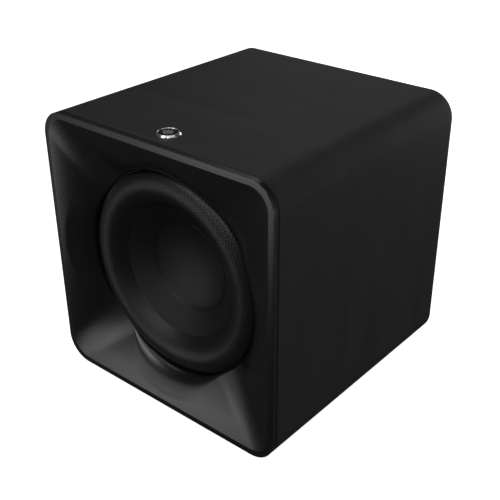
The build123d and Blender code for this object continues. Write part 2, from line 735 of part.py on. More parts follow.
def save_rear():
    save("port_tube", ring(PORT_R + PORT_WALL, PORT_R, PORT_INNER_END, PANEL_REAR - FLARE_R - 6.0, z=PORT_Z))
    save("port_flare", port_flare())
    save("amp_plate", amp_plate())
    save("amp_gasket", amp_gasket())
    save("amp_box", amp_box())
    save("amp_screws", *[amp_screw(place) for place in amp_screw_places()])
    save("board_standoffs", *board_standoffs())
    save("power_board", board(-BOARD_X))
    save("amplifier_board", board(BOARD_X))
    save("transformer", transformer())
    save("supply_capacitors", *supply_capacitors())
    save("heatsink", heatsink())
    save("control_board", slab(212.0, 26.0, 1.0, CONTROL_BOARD_REAR - BOARD_THICK, CONTROL_BOARD_REAR,
                               z=PLATE_Z + CONTROL_ROW))
    save("mains_inlet", mains_inlet())
    save("inlet_pins", *inlet_pins())
    for side, place in (("left", RCA_LEFT), ("right", RCA_RIGHT)):
        save(f"rca_shell_{side}", rca_shell(place))
        save(f"rca_insulator_{side}", rca_insulator(place))
    for name, place in (("gain", GAIN), ("lowpass", LOWPASS)):
        save(f"{name}_pot", potentiometer(place))
        save(f"{name}_shaft", shaft(place))
        save(f"{name}_knob", knob(place))
    save("phase_switch_body", phase_switch_body())
    save("phase_slider", phase_slider())
    save("power_switch_body", power_switch_body())
    save("power_rocker", power_rocker())
    save("status_led", status_led())


os.makedirs("parts", exist_ok=True)
save_cabinet()
save_woofer()
save_rear()
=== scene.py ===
import math

import bmesh
import bpy
import numpy as np
from mathutils import Matrix, Vector


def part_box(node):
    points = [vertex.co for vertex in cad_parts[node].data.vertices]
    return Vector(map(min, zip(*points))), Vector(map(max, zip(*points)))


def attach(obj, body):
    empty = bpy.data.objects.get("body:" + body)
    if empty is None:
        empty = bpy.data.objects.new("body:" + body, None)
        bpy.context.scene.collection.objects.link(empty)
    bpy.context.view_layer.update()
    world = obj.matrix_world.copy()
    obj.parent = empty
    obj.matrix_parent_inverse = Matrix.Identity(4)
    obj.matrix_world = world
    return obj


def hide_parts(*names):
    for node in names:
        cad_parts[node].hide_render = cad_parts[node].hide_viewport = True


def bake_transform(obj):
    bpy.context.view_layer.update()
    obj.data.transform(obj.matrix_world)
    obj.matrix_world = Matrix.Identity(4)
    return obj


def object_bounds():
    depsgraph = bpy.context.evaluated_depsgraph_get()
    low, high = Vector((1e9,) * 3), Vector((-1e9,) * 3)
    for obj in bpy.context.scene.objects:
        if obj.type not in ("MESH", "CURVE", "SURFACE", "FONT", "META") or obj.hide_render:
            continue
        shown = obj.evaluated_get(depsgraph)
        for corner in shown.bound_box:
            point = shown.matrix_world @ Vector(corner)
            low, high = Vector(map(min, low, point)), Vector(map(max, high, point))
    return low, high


# The looks of a cube-shaped powered subwoofer. Metres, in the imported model's frame: +Z is up and
# the front faces -Y. A depth is measured back from the front plane, and a radius from the
# woofer's axis.

MM = 0.001

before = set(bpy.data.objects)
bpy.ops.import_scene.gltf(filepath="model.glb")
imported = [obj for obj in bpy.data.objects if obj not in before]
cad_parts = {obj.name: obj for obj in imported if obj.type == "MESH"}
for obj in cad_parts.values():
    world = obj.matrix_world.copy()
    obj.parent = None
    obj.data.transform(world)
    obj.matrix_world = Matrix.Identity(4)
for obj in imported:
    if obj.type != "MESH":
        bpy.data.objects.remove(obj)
cad_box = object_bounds()

shell_low, shell_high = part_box("cabinet_shell")
bezel_low, bezel_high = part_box("front_bezel")
plate_low, plate_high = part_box("amp_plate")
PANEL_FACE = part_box("rear_panel")[1][1]

FRONT = bezel_low[1]
REAR = shell_high[1]
WIDTH = bezel_high[0] - bezel_low[0]
HALF = WIDTH / 2
AXIS_Z = (bezel_low[2] + bezel_high[2]) / 2
TOP_Z = shell_high[2]
FLOOR_Z = cad_box[0][2]

CORNER = 37.4 * MM
WALL = 18 * MM
RIM = 8.8 * MM
SIDE_BAND = 7.8 * MM
SHELL_FRONT = shell_low[1] - FRONT
THROAT_R = 148 * MM
THROAT_DEPTH = 35.7 * MM

TINY_R = 0.001 * MM
WELD = 0.005 * MM


# ------------------------------------------------------------------ mesh helpers

def piece(name, points, faces, uvs=None, smooth=True, sharp=40):
    """A mesh object from arrays. Each row of uvs belongs to one face corner."""
    mesh = bpy.data.meshes.new(name)
    mesh.from_pydata([tuple(p) for p in points], [], [tuple(f) for f in faces])
    mesh.update()
    if uvs is not None:
        layer = mesh.uv_layers.new(name="surface")
        layer.data.foreach_set("uv", np.asarray(uvs, np.float32).ravel())
    mesh.polygons.foreach_set("use_smooth", [smooth] * len(mesh.polygons))
    if smooth:
        mesh.set_sharp_from_angle(angle=math.radians(sharp))
    made = bpy.data.objects.new(name, mesh)
    bpy.context.scene.collection.objects.link(made)
    return made


def woven_grid(name, rings, u=None, v=None, sharp=40):
    """Joins closed rings of points, all the same length, and the last ring to the first."""
    rings = np.asarray(rings, float)
    ring_count, around, _ = rings.shape
    u = np.linspace(0, 1, around + 1) if u is None else u
    v = np.linspace(0, 1, ring_count + 1) if v is None else v
    faces = []
    uvs = []
    for i in range(ring_count):
        here = i * around
        following = (i + 1) % ring_count * around
        for j in range(around):
            beside = (j + 1) % around
            faces.append((here + j, here + beside, following + beside, following + j))
            uvs += [(u[j], v[i]), (u[j + 1], v[i]), (u[j + 1], v[i + 1]), (u[j], v[i + 1])]
    return piece(name, rings.reshape(-1, 3), faces, uvs, sharp=sharp)


def rounded_square(half, radius, side_steps, corner_steps):
    """Points round a square with rounded corners, as (x, z) from its middle, anticlockwise."""
    straight = half - radius
    points = []
    for quarter in range(4):
        turn = math.radians(90 * quarter)
        rotate = np.array([[math.cos(turn), -math.sin(turn)], [math.sin(turn), math.cos(turn)]])
        for i in range(side_steps):
            points.append(rotate @ (half, -straight + 2 * straight * i / side_steps))
        for i in range(corner_steps):
            angle = math.radians(90 * i / corner_steps)
            corner = (straight + radius * math.cos(angle), straight + radius * math.sin(angle))
            points.append(rotate @ corner)
    return np.array(points)


def at_depth(flat, depth):
    """(x, z) points from the woofer's axis, placed at a depth behind the front plane."""
    depths = np.broadcast_to(np.asarray(depth, float), len(flat))
    return np.column_stack([flat[:, 0], FRONT + depths, flat[:, 1] + AXIS_Z])


def eased(points, radius, steps=4):
    """A closed outline with its corners rounded, less where the sides are short."""
    points = [np.array(p, float) for p in points]
    out = []
    for i, corner in enumerate(points):
        before = points[i - 1] - corner
        after = points[(i + 1) % len(points)] - corner
        long_before = np.linalg.norm(before)
        long_after = np.linalg.norm(after)
        reach = min(radius, 0.45 * long_before, 0.45 * long_after)
        start = corner + before / long_before * reach
        end = corner + after / long_after * reach
        for k in range(steps + 1):
            t = k / steps
            out.append((1 - t) ** 2 * start + 2 * t * (1 - t) * corner + t ** 2 * end)
    return out


def lathe(name, outline, middle, upright=False, segments=96, sharp=40):
    """A closed (radius, height) outline turned about a front-to-back axis, or an upright one."""
    rings = []
    for radius, height in outline:
        radius = max(radius, TINY_R)
        ring = []
        for i in range(segments):
            turn = 2 * math.pi * i / segments
            across = radius * math.cos(turn)
            up = radius * math.sin(turn)
            offset = (across, up, height) if upright else (across, height, up)
            ring.append(np.array(middle) + offset)
        rings.append(ring)
    return outward(woven_grid(name, rings, sharp=sharp))


def outward(made):
    """Joins points that meet, and turns every face outward."""
    shape = bmesh.new()
    shape.from_mesh(made.data)
    bmesh.ops.remove_doubles(shape, verts=shape.verts, dist=WELD)
    bmesh.ops.recalc_face_normals(shape, faces=shape.faces)
    shape.to_mesh(made.data)
    shape.free()
    return made


def lengths_along(outline):
    """The distance along a closed outline of each of its points, and of the first again."""
    along = [0.0]
    for a, b in zip(outline, outline[1:] + outline[:1]):
        along.append(along[-1] + math.dist(a, b))
    return np.array(along)


def block(low, high, turn=0.0, pivot=(0, 0)):
    """The corners and faces of a box, turned about a front-to-back axis through pivot (x, z)."""
    ends = list(zip(low, high))
    corners = np.array([(x, y, z) for x in ends[0] for y in ends[1] for z in ends[2]])
    x = corners[:, 0] - pivot[0]
    z = corners[:, 2] - pivot[1]
    corners[:, 0] = pivot[0] + x * math.cos(turn) - z * math.sin(turn)
    corners[:, 2] = pivot[1] + x * math.sin(turn) + z * math.cos(turn)
    sides = [(0, 1, 3, 2), (4, 6, 7, 5), (0, 4, 5, 1), (2, 3, 7, 6), (0, 2, 6, 4), (1, 5, 7, 3)]
    return corners, sides


def joined(name, parts, smooth=True, sharp=40):
    """One piece made of several separate shapes, each given as its points and faces."""
    points = []
    faces = []
    for part_points, part_faces in parts:
        faces += [tuple(i + len(points) for i in face) for face in part_faces]
        points += list(part_points)
    return outward(piece(name, points, faces, smooth=smooth, sharp=sharp))


# ------------------------------------------------------------------ materials

class Nodes:
    """A material's node tree with short ways to add and link nodes."""

    def __init__(self, name, color, roughness, specular=0.5, metallic=0.0):
        self.material = bpy.data.materials.new(name)
        self.material.use_nodes = True
        self.tree = self.material.node_tree
        self.shader = self.tree.nodes["Principled BSDF"]
        self.shader.inputs["Base Color"].default_value = (*color, 1)
        self.shader.inputs["Roughness"].default_value = roughness
        self.shader.inputs["Specular IOR Level"].default_value = specular
        self.shader.inputs["Metallic"].default_value = metallic

    def add(self, kind, **values):
        node = self.tree.nodes.new(kind)
        for key, value in values.items():
            setattr(node, key, value)
        return node

    def link(self, source, target):
        self.tree.links.new(source, target)

    def place(self, scale, uv=False):
        """Object or surface coordinates, stretched by a scale for each axis."""
        if uv:
            source = self.add("ShaderNodeUVMap", uv_map="surface").outputs["UV"]
        else:
            source = self.add("ShaderNodeTexCoord").outputs["Object"]
        mapping = self.add("ShaderNodeMapping")
        mapping.inputs["Scale"].default_value = scale
        self.link(source, mapping.inputs["Vector"])
        return mapping.outputs["Vector"]

    def noise(self, place, scale, detail=4.0, rough=0.5, distortion=0.0):
        node = self.add("ShaderNodeTexNoise")
        node.inputs["Scale"].default_value = scale
        node.inputs["Detail"].default_value = detail
        node.inputs["Roughness"].default_value = rough
        node.inputs["Distortion"].default_value = distortion
        self.link(place, node.inputs["Vector"])
        return node.outputs["Fac"]

    def math(self, operation, a, b=None):
        node = self.add("ShaderNodeMath", operation=operation)
        for socket, value in zip(node.inputs, (a, b)):
            if value is None:
                continue
            if isinstance(value, (int, float)):
                socket.default_value = value
            else:
                self.link(value, socket)
        return node.outputs["Value"]

    def spread(self, value, low, high):
        """Maps a 0 to 1 value to a range."""
        node = self.add("ShaderNodeMapRange")
        node.inputs["To Min"].default_value = low
        node.inputs["To Max"].default_value = high
        self.link(value, node.inputs["Value"])
        return node.outputs["Result"]

    def tint(self, value, dark, light, low=0.0, high=1.0):
        """Colours the base between two colours by a value."""
        ramp = self.add("ShaderNodeValToRGB")
        ramp.color_ramp.elements[0].position = low
        ramp.color_ramp.elements[1].position = high
        ramp.color_ramp.elements[0].color = (*dark, 1)
        ramp.color_ramp.elements[1].color = (*light, 1)
        self.link(value, ramp.inputs["Fac"])
        self.link(ramp.outputs["Color"], self.shader.inputs["Base Color"])

    def rough(self, value, low, high):
        self.link(self.spread(value, low, high), self.shader.inputs["Roughness"])

    def bump(self, value, depth, strength=1.0):
        node = self.add("ShaderNodeBump")
        node.inputs["Strength"].default_value = strength
        node.inputs["Distance"].default_value = depth
        self.link(value, node.inputs["Height"])
        below = self.shader.inputs["Normal"]
        if below.is_linked:
            self.link(below.links[0].from_socket, node.inputs["Normal"])
        self.link(node.outputs["Normal"], below)


def grey(value):
    return (value, value, value * 1.02)


def wood_vinyl():
    """Black wood-grain wrap: long pores and soft figure that run round the cabinet."""
    m = Nodes("wood_vinyl", grey(0.02), 0.5, specular=0.22)
    pores = m.noise(m.place((28, 900, 1), uv=True), 1.0, detail=3.0, rough=0.55)
    fibres = m.noise(m.place((9, 260, 1), uv=True), 1.0, detail=6.0, rough=0.6, distortion=0.4)
    figure = m.noise(m.place((3.2, 26, 1), uv=True), 1.0, detail=3.0, rough=0.5, distortion=1.2)
    tone = m.math("ADD", m.math("MULTIPLY", fibres, 0.5), m.math("MULTIPLY", figure, 0.5))
    m.tint(tone, grey(0.015), grey(0.027), 0.3, 0.7)
    m.rough(fibres, 0.44, 0.62)
    m.bump(m.math("ADD", pores, m.math("MULTIPLY", fibres, 0.6)), depth=0.00009)
    return m.material


def board(name, color):
    """Fibreboard, raw or painted."""
    m = Nodes(name, color, 0.75, specular=0.3)
    fibres = m.noise(m.place((1, 1, 1)), 420, detail=4.0)
    m.tint(fibres, [c * 0.82 for c in color], [c * 1.15 for c in color])
    m.bump(fibres, depth=0.00012)
    return m.material


def moulded(name, color, roughness, grain=1400, depth=0.00002, specular=0.5):
    """Moulded plastic, rubber or foam with a fine even grain."""
    m = Nodes(name, color, roughness, specular=specular)
    fine = m.noise(m.place((1, 1, 1)), grain, detail=2.0)
    broad = m.noise(m.place((1, 1, 1)), 18, detail=3.0)
    m.tint(broad, [c * 0.9 for c in color], [c * 1.1 for c in color])
    m.rough(fine, roughness - 0.04, roughness + 0.06)
    m.bump(fine, depth)
    return m.material


def metal(name, color, roughness, streak=(1, 1, 1), depth=0.000004):
    """Plated, turned or rolled metal with fine marks along its working direction."""
    m = Nodes(name, color, roughness, metallic=1.0)
    marks = m.noise(m.place(streak), 900, detail=3.0)
    m.tint(marks, [c * 0.92 for c in color], color)
    m.rough(marks, roughness * 0.8, roughness * 1.25)
    m.bump(marks, depth)
    return m.material


def powder_coat(name, color, roughness=0.55):
    m = Nodes(name, color, roughness, specular=0.45)
    peel = m.noise(m.place((1, 1, 1)), 1100, detail=2.0, rough=0.6)
    m.tint(peel, [c * 0.85 for c in color], [c * 1.2 for c in color])
    m.rough(peel, roughness - 0.08, roughness + 0.08)
    m.bump(peel, depth=0.00006)
    return m.material


def weave(name, color, pitch, depth, roughness, specular, uv=False):
    """A fine plain weave of two crossing threads, with a little unevenness."""
    m = Nodes(name, color, roughness, specular=specular)
    place = m.place((1, 1, 1), uv=uv)
    parts = m.add("ShaderNodeSeparateXYZ")
    m.link(place, parts.inputs["Vector"])
    across = parts.outputs["X"]
    up = parts.outputs["Y" if uv else "Z"]
    turn = 2 * math.pi / pitch
    one = m.math("SINE", m.math("MULTIPLY", m.math("ADD", across, up), turn))
    two = m.math("SINE", m.math("MULTIPLY", m.math("SUBTRACT", across, up), turn))
    threads = m.math("ADD", m.math("MULTIPLY", m.math("MULTIPLY", one, two), 0.5), 0.5)
    uneven = m.noise(m.place((1, 1, 1)), 160, detail=3.0)
    m.tint(threads, [c * 0.75 for c in color], [c * 1.3 for c in color])
    m.rough(uneven, roughness - 0.05, roughness + 0.07)
    m.bump(m.math("ADD", threads, m.math("MULTIPLY", uneven, 0.5)), depth)
    return m.material


def clear_lens(name, color):
    m = Nodes(name, color, 0.15)
    m.tint(m.noise(m.place((1, 1, 1)), 300), [c * 0.9 for c in color], color)
    return m.material


def blend_by_radius(made):
    """Bakes a piece's placement into its points and reads the points back; it sets no blend."""
    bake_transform(made)
    co = np.empty(len(made.data.vertices) * 3)
    made.data.vertices.foreach_get("co", co)
    co = co.reshape(-1, 3)


def bent_copy(name, node, material):
    """Stands in for a soft CAD node that stretches between the basket and the moving parts."""
    made = bpy.data.objects.new(name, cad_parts[node].data.copy())
    bpy.context.scene.collection.objects.link(made)
    finish(made, material)
    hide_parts(node)
    blend_by_radius(made)


def finish(node, material):
    """Gives a CAD node, or a piece, its material."""
    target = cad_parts[node] if isinstance(node, str) else node
    target.data.materials.clear()
    target.data.materials.append(material)


# ------------------------------------------------------------------ cabinet

def cabinet():
    """The wrapped tube, with a small roundover at each end."""
    front_ease = 0.6 * MM
    rear_ease = 1.5 * MM
    inner_ease = 0.8 * MM
    length = REAR - FRONT
    turns = [math.radians(angle) for angle in range(0, 91, 15)]
    outer = [(front_ease * (1 - math.sin(a)), SHELL_FRONT + front_ease * (1 - math.cos(a)))
             for a in turns]
    body = [(0.0, SHELL_FRONT + (length - SHELL_FRONT) * t) for t in np.linspace(0.02, 0.98, 12)]
    rear = [(rear_ease * (1 - math.cos(a)), length - rear_ease + rear_ease * math.sin(a))
            for a in turns]
    inner_edge = [(WALL - inner_ease, length), (WALL, length - inner_ease)]
    inside = [(WALL, length - t * (length - SHELL_FRONT)) for t in (0.1, 0.5, 1.0)]
    profile = outer + body + rear + inner_edge + inside
    rings = []
    for inset, depth in profile:
        flat = rounded_square(HALF - inset, CORNER - inset, side_steps=16, corner_steps=24)
        rings.append(at_depth(flat, depth))
    first = rings[len(outer)]
    steps = np.linalg.norm(np.diff(np.vstack([first, first[:1]]), axis=0), axis=1)
    u = np.concatenate([[0], np.cumsum(steps)])
    return outward(woven_grid("cabinet_wrap", rings, u=u, v=lengths_along(profile), sharp=35))


# ------------------------------------------------------------------ bezel

HORN_HALF = HALF - RIM
HORN_CORNER = CORNER - RIM
MOUTH_SLOPE = 0.30
THROAT_SLOPE = 0.50
HORN_REACH = HORN_HALF - THROAT_R
VALLEY_GROWTH = 0.30
FLARE_WIDTH = 83.8 * MM
FLARE_DEPTH = 40 * MM
FLARE_TURN = math.radians(50)
BLEND = 6 * MM
BLEND_REACH = 30 * MM
SEAT_R = 162.5 * MM


def soft_max(a, b, width):
    """The larger of two values, rounded off where they're within a width of each other."""
    near = np.maximum(width - np.abs(a - b), 0) / np.maximum(width, 1e-9)
    return np.maximum(a, b) + near ** 2 * width / 4


def inward_from_mouth(x, z):
    """How far in from the mouth's outline a point is. The corners' radius grows on the way in."""
    corner = HORN_HALF - HORN_CORNER
    a = np.abs(x) - corner
    b = np.abs(z) - corner
    side = HORN_CORNER - np.maximum(a, b)
    q = 1 + VALLEY_GROWTH
    first = 2 * q * q - VALLEY_GROWTH ** 2
    second = 2 * q * (a + b) - 2 * HORN_CORNER * VALLEY_GROWTH
    third = a * a + b * b - HORN_CORNER ** 2
    root = (-second + np.sqrt(np.maximum(second ** 2 - 4 * first * third, 0))) / (2 * first)
    return np.maximum(np.where(np.minimum(a, b) + q * root > 0, root, side), 0)


def horn_depth(x, z):
    """Depth of the horn: four faces that steepen inwards and run into a round flared throat."""
    inward = inward_from_mouth(x, z)
    growth = (THROAT_SLOPE - MOUTH_SLOPE) / (2 * HORN_REACH)
    faces = MOUTH_SLOPE * inward + growth * inward ** 2
    radius = np.hypot(x, z)
    turn = np.arccos(np.clip(1 - (radius - THROAT_R) / FLARE_WIDTH, -1, 1))
    flare = THROAT_DEPTH - FLARE_DEPTH * np.sin(np.minimum(turn, FLARE_TURN))
    edge = THROAT_R + FLARE_WIDTH * (1 - math.cos(FLARE_TURN))
    flare = np.where(radius > edge, flare - THROAT_SLOPE * (radius - edge), flare)
    ramp = np.clip(inward / BLEND_REACH, 0, 1)
    return np.minimum(soft_max(faces, flare, BLEND * ramp * ramp * (3 - 2 * ramp)), THROAT_DEPTH)


def bezel():
    """Rim band, flat rim, horn, throat and a plain back, as one closed skin."""
    ease = 0.8 * MM
    lip = 0.35 * MM
    throat_skin = 1.2 * MM
    plug = WALL + 1 * MM
    rear = bezel_high[1] - FRONT
    horn_steps = 72
    crowding = 1.35

    def outline(inset):
        return rounded_square(HALF - inset, max(CORNER - inset, 1 * MM), side_steps=64,
                              corner_steps=32)

    rings = [at_depth(outline(0), depth) for depth in (SIDE_BAND, SIDE_BAND * 0.6, ease)]
    for angle in range(15, 91, 15):
        turn = math.radians(angle)
        rings.append(at_depth(outline(ease * (1 - math.cos(turn))), ease * (1 - math.sin(turn))))
    rings.append(at_depth(outline(RIM * 0.5), 0))
    rings.append(at_depth(outline(RIM - lip), 0))
    mouth = outline(RIM)
    circle = mouth / np.linalg.norm(mouth, axis=1)[:, None] * THROAT_R
    for k in range(horn_steps + 1):
        share = 1 - (1 - k / horn_steps) ** crowding
        flat = mouth + (circle - mouth) * share
        rings.append(at_depth(flat, horn_depth(flat[:, 0], flat[:, 1])))
    rings.append(at_depth(circle, THROAT_DEPTH))
    rings.append(at_depth(circle * (1 + throat_skin / THROAT_R), THROAT_DEPTH))
    seat = circle * (SEAT_R / THROAT_R)
    rings.append(at_depth(seat, THROAT_DEPTH))
    rings.append(at_depth(seat, rear))
    rings.append(at_depth(outline(plug), rear))
    rings.append(at_depth(outline(plug), SIDE_BAND))
    return outward(woven_grid("bezel_horn", rings, sharp=28))


# ------------------------------------------------------------------ woofer

CONE_R = 104 * MM
CONE_EDGE_DEPTH = 34.9 * MM
CONE_SLOPE = 0.766
FLANGE_DEPTH = 37.2 * MM
SKIN = 1.2 * MM
CREST_R = 127 * MM
CREST_DEPTH = 24 * MM
ROLL_FOOT_R = 147.2 * MM
LIP_R = 150.5 * MM
LAP_R = 96 * MM
BEND_R = 106 * MM
LAP = 1.0 * MM
LAP_EDGE = 0.25  # share of the lap's thickness that is left at its inner edge
CAP_R = 67.5 * MM
CAP_LIP = 4.5 * MM
CAP_SAG = 13.5 * MM
CAP_THICK = 0.8 * MM


def cone_depth(radius):
    return CONE_EDGE_DEPTH + (CONE_R - radius) * CONE_SLOPE


def axis_lathe(name, outline, segments=192, sharp=40):
    """A closed (radius, depth) outline about the woofer's axis, with surface lengths as its UVs."""
    rings = []
    turns = 2 * np.pi * np.arange(segments) / segments
    for radius, depth in outline:
        flat = np.column_stack([np.cos(turns), np.sin(turns)]) * max(radius, TINY_R)
        rings.append(at_depth(flat, depth))
    u = np.linspace(0, 2 * math.pi * CREST_R, segments + 1)
    return outward(woven_grid(name, rings, u=u, v=lengths_along(outline), sharp=sharp))


def roll_side(lift, crest_depth, foot_r, foot_depth, steps):
    """One side of the roll: along the cone, bent over to the crest, and down to the outer foot."""
    meeting_r = CONE_R + (CONE_EDGE_DEPTH - lift - crest_depth) / CONE_SLOPE
    points = []
    for r in np.linspace(LAP_R, BEND_R, max(steps // 4, 2))[:-1]:
        raised = LAP_EDGE + (1 - LAP_EDGE) * (r - LAP_R) / (BEND_R - LAP_R)
        points.append((r, cone_depth(r) - lift * raised))
    bend_depth = cone_depth(BEND_R) - lift
    corners = ((BEND_R, bend_depth), (meeting_r, crest_depth), (CREST_R, crest_depth))
    for t in np.linspace(0, 1, steps)[:-1]:
        weights = ((1 - t) ** 2, 2 * t * (1 - t), t * t)
        points.append(tuple(sum(w * p[k] for w, p in zip(weights, corners)) for k in (0, 1)))
    for turn in np.linspace(0, math.pi / 2, steps):
        points.append((CREST_R + (foot_r - CREST_R) * math.sin(turn),
                       foot_depth - (foot_depth - crest_depth) * math.cos(turn)))
    return points


def evenly(points, step):
    """Points along a line of points, about a step apart, with the distance along it of each."""
    points = np.array(points)
    along = np.concatenate([[0], np.cumsum(np.linalg.norm(np.diff(points, axis=0), axis=1))])
    count = max(int(round(along[-1] / step)), 2)
    at = np.linspace(0, along[-1], count + 1)
    line = np.column_stack([np.interp(at, along, points[:, k]) for k in (0, 1)])
    return line, at


def surround(pitch):
    """The roll between the cone and its outer lip, knurled with a lattice of small bumps."""
    relief = 0.2 * MM
    fineness = 6
    repeats = round(2 * math.pi * CREST_R / pitch)
    lip_depth = FLANGE_DEPTH - SKIN
    segments = repeats * fineness
    front = roll_side(LAP, CREST_DEPTH, ROLL_FOOT_R, lip_depth, 60) + [(LIP_R, lip_depth)]
    line, along = evenly(front, pitch / fineness)
    tangent = np.gradient(line, axis=0)
    tangent /= np.linalg.norm(tangent, axis=1)[:, None]
    normal = np.column_stack([tangent[:, 1], -tangent[:, 0]])
    turns = 2 * np.pi * np.arange(segments) / segments
    around = np.column_stack([np.cos(turns), np.sin(turns)])
    fade = np.clip(np.minimum(along, along[-1] - along) / pitch, 0, 1)
    rings = []
    for (radius, depth), (out, back), at, soft in zip(line, normal, along, fade):
        bumps = relief * soft * np.cos(repeats * turns) * math.cos(2 * math.pi * at / pitch)
        rings.append(at_depth(around * (radius + out * bumps)[:, None], depth + back * bumps))
    rear = roll_side(0, CREST_DEPTH + SKIN, ROLL_FOOT_R - SKIN, FLANGE_DEPTH, 8)
    behind = [(LIP_R, FLANGE_DEPTH)] + rear[::-1]
    for radius, depth in behind:
        rings.append(at_depth(around * radius, depth))
    u = np.linspace(0, repeats * pitch, segments + 1)
    v = np.concatenate([along, along[-1] + 2 * MM * np.arange(1, len(behind) + 2)])
    return outward(woven_grid("surround_roll", rings, u=u, v=v, sharp=50))


def cone():
    """The cone's skin, from its edge under the surround to the neck on the former."""
    neck_r = 32.5 * MM
    wall = 1.5 * MM
    back = 1.89 * MM
    front = [(r, cone_depth(r)) for r in np.linspace(CONE_R, neck_r, 24)]
    rear = [(r, cone_depth(r) + back) for r in np.linspace(neck_r + wall, CONE_R, 12)]
    neck_end = cone_depth(neck_r) + 5 * MM
    neck = [(neck_r, neck_end), (neck_r + wall, neck_end)]
    return axis_lathe("cone_skin", front + neck + rear)


def dust_cap():
    """The dished cap with its glued lip."""
    dish = CAP_R - CAP_LIP
    curve = (dish ** 2 + CAP_SAG ** 2) / (2 * CAP_SAG)
    bottom = cone_depth(dish) + CAP_SAG
    back = [(r, bottom - (curve - math.sqrt(curve ** 2 - r ** 2)))
            for r in np.linspace(0, dish, 24)]
    front = [(r, depth - CAP_THICK) for r, depth in back]
    rim = cone_depth(CAP_R)
    ease = 0.3 * MM
    lip = [(CAP_R - ease, rim - CAP_THICK + 0.2 * MM), (CAP_R, rim - ease), (CAP_R, rim)]
    return axis_lathe("dust_cap_skin", front + lip + back[::-1])


# ------------------------------------------------------------------ badge

def capsule(x, y, half, base, height, across=12, along=8):
    """A half-round bar that runs front to back, with round ends, as points and faces."""
    width = 0.75 * MM
    stations = [(-half - width * math.cos(t), math.sin(t))
                for t in np.linspace(0.05, math.pi / 2, along)]
    stations += [(-place, size) for place, size in stations[::-1]]
    points = []
    for place, size in stations:
        for k in range(across + 1):
            turn = math.pi * k / across
            points.append((x + width * size * math.cos(turn), y + place,
                           base + height * size * math.sin(turn)))
    row = across + 1
    faces = []
    for i in range(len(stations) - 1):
        for k in range(across):
            faces.append((i * row + k, i * row + k + 1, (i + 1) * row + k + 1, (i + 1) * row + k))
        faces.append((i * row, (i + 1) * row, (i + 1) * row + across, i * row + across))
    last = (len(stations) - 1) * row
    faces += [tuple(range(row)), tuple(range(last, last + row))]
    return points, faces


def badge():
    """Sloping bright ring, slightly domed face, and a plain mark of five half-round bars."""
    low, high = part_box("badge_ring")
    middle = ((low[0] + high[0]) / 2, (low[1] + high[1]) / 2, TOP_Z)
    outer = (high[0] - low[0]) / 2
    height = high[2] - TOP_Z
    face_r = 13.2 * MM
    ring_outline = eased([(face_r, 0.2 * MM), (outer, 0.0), (outer, 0.5 * MM),
                          (face_r + 0.9 * MM, height), (face_r + 0.4 * MM, height),
                          (face_r, height - 0.5 * MM)], 0.25 * MM)
    ring = lathe("badge_bezel", ring_outline, middle, upright=True, segments=128)
    crown = 0.25 * MM
    face_base = 0.8 * MM
    face_top = height - 0.75 * MM
    face = [(0, face_base), (face_r, face_base), (face_r, face_top - crown)]
    face += [(r, face_top + crown * (1 - (r / face_r) ** 2))
             for r in np.linspace(face_r * 0.97, 0, 12)]
    disc = lathe("badge_disc", face, middle, upright=True, segments=128)
    bar_spacing = 3.2 * MM
    bar_base = TOP_Z + face_top - 0.1 * MM
    bars = [capsule(middle[0] + (i - 2) * bar_spacing, middle[1], reach * MM, bar_base, 0.8 * MM)
            for i, reach in enumerate((2.0, 4.2, 6.6, 4.2, 2.0))]
    mark = joined("badge_mark", bars, sharp=50)
    return ring, disc, mark


# ------------------------------------------------------------------ rear

def port_flare():
    """The port's flange and its quarter-round mouth."""
    low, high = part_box("port_flare")
    middle = ((low[0] + high[0]) / 2, 0, (low[2] + high[2]) / 2)
    face = high[1]
    outer = (high[0] - low[0]) / 2
    bore = 34 * MM
    flare = 20 * MM
    spigot = 52 * MM
    mouth = [(bore + flare * (1 - math.cos(a)), face - flare + flare * math.sin(a))
             for a in np.linspace(0, math.pi / 2, 24)]
    rim = [(outer - 1.2 * MM, face), (outer - 0.35 * MM, face - 0.35 * MM),
           (outer, face - 1.2 * MM),
           (outer, PANEL_FACE)]
    inside = [(spigot, PANEL_FACE), (spigot, PANEL_FACE - 6 * MM), (39 * MM, low[1] + 4 * MM),
              (37 * MM, low[1]), (bore, low[1])]
    return lathe("port_mouth", mouth + rim + inside, middle, segments=160)


def screw_head(x, z, base, radius, height, segments=24):
    """A domed head with a hexagonal socket, as points and faces."""
    # share of the radius, share of the height, whether it belongs to the socket
    profile = [(1.0, 0.0, False), (1.0, 0.45, False), (0.86, 0.86, False), (0.62, 1.0, False),
               (0.42, 1.0, True), (0.40, 0.35, True)]
    points = []
    for r, h, hexagonal in profile:
        for i in range(segments):
            turn = 2 * math.pi * i / segments
            reach = r * radius
            if hexagonal:
                within = (turn % (math.pi / 3)) - math.pi / 6
                reach *= math.cos(math.pi / 6) / math.cos(within)
            points.append((x + reach * math.cos(turn), base + h * height,
                           z + reach * math.sin(turn)))
    faces = []
    last = (len(profile) - 1) * segments
    for here in range(0, last, segments):
        above = here + segments
        for i in range(segments):
            j = (i + 1) % segments
            faces.append((here + i, here + j, above + j, above + i))
    faces += [tuple(range(segments)), tuple(range(last, last + segments))]
    return points, faces


def plate_screws():
    """The ten screws of the amplifier plate."""
    margin = 7 * MM
    across = (plate_high[0] - plate_low[0]) / 2 - margin
    up = (plate_high[2] - plate_low[2]) / 2 - margin
    middle = (plate_low[2] + plate_high[2]) / 2
    places = [(x, z) for x in (-across, 0, across) for z in (-up, up)]
    places += [(x, z) for x in (-across, across) for z in (-up / 3, up / 3)]
    heads = [screw_head(x, middle + z, plate_high[1], 3.6 * MM, 1.8 * MM) for x, z in places]
    return joined("plate_screws", heads, sharp=35)


